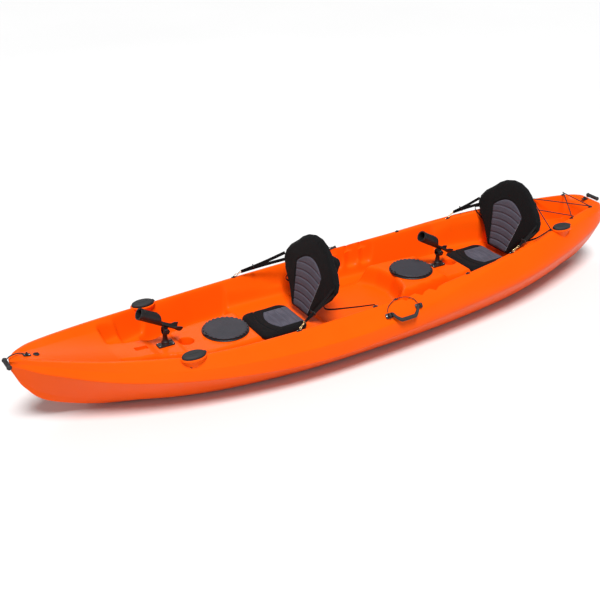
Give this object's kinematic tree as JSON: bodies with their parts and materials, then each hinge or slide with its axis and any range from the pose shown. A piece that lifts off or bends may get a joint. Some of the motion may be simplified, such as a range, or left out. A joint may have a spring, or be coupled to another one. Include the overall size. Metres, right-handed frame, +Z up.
{
  "type": "kayak",
  "caption": "Two-seat sit-on-top kayak: hollow moulded hull with footwells, hatches, folding padded seats, rod holders, carry handles and deck lines.",
  "frame": {"origin": "amidships on the flat underside of the keel, which is the surface the kayak rests on", "axes": "+X towards the bow, +Y to port, +Z up"},
  "size_m": [3.7717, 0.9188, 0.6475],
  "materials": {
    "hull": "satin, rotationally moulded polyethylene",
    "fittings": "fine moulded grain",
    "hatch_lid": "fine moulded grain",
    "soft_rubber": "matte",
    "seat_fabric": "woven nylon over foam",
    "webbing": "woven polypropylene strap",
    "cord": "braided cord"
  },
  "bodies": {
    "hull_moulding": {"hull_shell": "hull", "front_hatch_ring": "fittings", "front_port_flush_holder": "fittings", "front_starboard_flush_holder": "fittings", "front_rod_holder_base": "fittings", "rear_hatch_ring": "fittings", "rear_port_flush_holder": "fittings", "rear_starboard_flush_holder": "fittings", "rear_rod_holder_base": "fittings", "port_handle_front_bracket": "fittings", "port_handle_rear_bracket": "fittings", "port_paddle_keeper": "cord", "starboard_handle_front_bracket": "fittings", "starboard_handle_rear_bracket": "fittings", "starboard_paddle_keeper": "cord", "front_seat_port_eyelet": "fittings", "front_seat_starboard_eyelet": "fittings", "mid_port_eyelet": "fittings", "mid_starboard_eyelet": "fittings", "rear_seat_port_eyelet": "fittings", "rear_seat_starboard_eyelet": "fittings", "bow_pad_eye": "fittings", "stern_pad_eye": "fittings", "front_seat_pad": "seat_fabric", "front_seat_port_strap": "webbing", "front_seat_port_back_strap": "webbing", "front_seat_starboard_strap": "webbing", "front_seat_starboard_back_strap": "webbing", "rear_seat_pad": "seat_fabric", "rear_seat_port_strap": "webbing", "rear_seat_port_back_strap": "webbing", "rear_seat_starboard_strap": "webbing", "rear_seat_starboard_back_strap": "webbing", "stern_bungee": "cord"},
    "front_hatch_seal_ring": {"front_hatch_seal": "soft_rubber"},
    "front_hatch_cover": {"front_hatch_lid": "hatch_lid"},
    "front_rod_holder_swivel": {"front_rod_holder_post": "fittings"},
    "front_rod_holder_tilting_cradle": {"front_rod_holder_cradle": "fittings"},
    "front_rod_holder_lock_knob": {"front_rod_holder_knob": "fittings"},
    "front_seat_back": {"front_backrest": "seat_fabric", "front_seat_pack": "seat_fabric"},
    "front_port_cap": {"front_port_flush_cap": "soft_rubber"},
    "front_starboard_cap": {"front_starboard_flush_cap": "soft_rubber"},
    "rear_hatch_seal_ring": {"rear_hatch_seal": "soft_rubber"},
    "rear_hatch_cover": {"rear_hatch_lid": "hatch_lid"},
    "rear_rod_holder_swivel": {"rear_rod_holder_post": "fittings"},
    "rear_rod_holder_tilting_cradle": {"rear_rod_holder_cradle": "fittings"},
    "rear_rod_holder_lock_knob": {"rear_rod_holder_knob": "fittings"},
    "rear_seat_back": {"rear_backrest": "seat_fabric", "rear_seat_pack": "seat_fabric"},
    "rear_port_cap": {"rear_port_flush_cap": "soft_rubber"},
    "rear_starboard_cap": {"rear_starboard_flush_cap": "soft_rubber"},
    "port_handle": {"port_handle_grip": "soft_rubber"},
    "starboard_handle": {"starboard_handle_grip": "soft_rubber"},
    "bow_carry_toggle": {"bow_toggle": "soft_rubber", "bow_toggle_cord": "cord"},
    "stern_carry_toggle": {"stern_toggle": "soft_rubber", "stern_toggle_cord": "cord"},
    "drain_stopper": {"drain_plug": "soft_rubber"}
  },
  "joints": [
    {"name": "front_hatch_lift", "type": "slide", "parent": "hull_moulding", "child": "front_hatch_seal_ring", "axis": [0, 0, 1], "range_m": [0, 0.05]},
    {"name": "front_hatch_turn", "type": "hinge", "parent": "front_hatch_seal_ring", "child": "front_hatch_cover", "pos_m": [0.745, 0, 0.218], "axis": [0, 0, 1], "range_deg": [0, 60]},
    {"name": "front_rod_holder_turn", "type": "hinge", "parent": "hull_moulding", "child": "front_rod_holder_swivel", "pos_m": [1.084, 0, 0.253], "axis": [0, 0, 1], "range_deg": [-180, 180]},
    {"name": "front_rod_holder_tilt", "type": "hinge", "parent": "front_rod_holder_swivel", "child": "front_rod_holder_tilting_cradle", "pos_m": [1.084, 0, 0.311], "axis": [0, 1, 0], "range_deg": [-45, 30]},
    {"name": "front_rod_holder_lock", "type": "hinge", "parent": "front_rod_holder_swivel", "child": "front_rod_holder_lock_knob", "pos_m": [1.084, 0.02, 0.311], "axis": [0, 1, 0], "range_deg": [0, 180]},
    {"name": "front_backrest_fold", "type": "hinge", "parent": "hull_moulding", "child": "front_seat_back", "pos_m": [0.298, 0, 0.186], "axis": [0, 1, 0], "range_deg": [-8, 85]},
    {"name": "front_port_cap_pull", "type": "slide", "parent": "hull_moulding", "child": "front_port_cap", "axis": [-0.342, 0, 0.9397], "range_m": [0, 0.05]},
    {"name": "front_starboard_cap_pull", "type": "slide", "parent": "hull_moulding", "child": "front_starboard_cap", "axis": [-0.342, 0, 0.9397], "range_m": [0, 0.05]},
    {"name": "rear_hatch_lift", "type": "slide", "parent": "hull_moulding", "child": "rear_hatch_seal_ring", "axis": [0, 0, 1], "range_m": [0, 0.05]},
    {"name": "rear_hatch_turn", "type": "hinge", "parent": "rear_hatch_seal_ring", "child": "rear_hatch_cover", "pos_m": [-0.452, 0, 0.26], "axis": [0, 0, 1], "range_deg": [0, 60]},
    {"name": "rear_rod_holder_turn", "type": "hinge", "parent": "hull_moulding", "child": "rear_rod_holder_swivel", "pos_m": [-0.643, 0, 0.263], "axis": [0, 0, 1], "range_deg": [-180, 180]},
    {"name": "rear_rod_holder_tilt", "type": "hinge", "parent": "rear_rod_holder_swivel", "child": "rear_rod_holder_tilting_cradle", "pos_m": [-0.643, 0, 0.321], "axis": [0, 1, 0], "range_deg": [-45, 30]},
    {"name": "rear_rod_holder_lock", "type": "hinge", "parent": "rear_rod_holder_swivel", "child": "rear_rod_holder_lock_knob", "pos_m": [-0.643, 0.02, 0.321], "axis": [0, 1, 0], "range_deg": [0, 180]},
    {"name": "rear_backrest_fold", "type": "hinge", "parent": "hull_moulding", "child": "rear_seat_back", "pos_m": [-1.092, 0, 0.216], "axis": [0, 1, 0], "range_deg": [0, 68]},
    {"name": "rear_port_cap_pull", "type": "slide", "parent": "hull_moulding", "child": "rear_port_cap", "axis": [-0.342, 0, 0.9397], "range_m": [0, 0.05]},
    {"name": "rear_starboard_cap_pull", "type": "slide", "parent": "hull_moulding", "child": "rear_starboard_cap", "axis": [-0.342, 0, 0.9397], "range_m": [0, 0.05]},
    {"name": "port_handle_swing", "type": "hinge", "parent": "hull_moulding", "child": "port_handle", "pos_m": [-0.102, 0.4182, 0.2828], "axis": [1, 0, 0], "range_deg": [0, 100]},
    {"name": "starboard_handle_swing", "type": "hinge", "parent": "hull_moulding", "child": "starboard_handle", "pos_m": [-0.102, -0.4182, 0.2828], "axis": [-1, 0, 0], "range_deg": [0, 100]},
    {"name": "bow_toggle_swing", "type": "hinge", "parent": "hull_moulding", "child": "bow_carry_toggle", "pos_m": [1.791, 0, 0.389], "axis": [0, -1, 0], "range_deg": [0, 110]},
    {"name": "stern_toggle_swing", "type": "hinge", "parent": "hull_moulding", "child": "stern_carry_toggle", "pos_m": [-1.8155, 0, 0.4115], "axis": [0, 1, 0], "range_deg": [0, 110]},
    {"name": "drain_plug_pull", "type": "slide", "parent": "hull_moulding", "child": "drain_stopper", "axis": [-0.2149, 0, 0.9766], "range_m": [0, 0.03]}
  ]
}
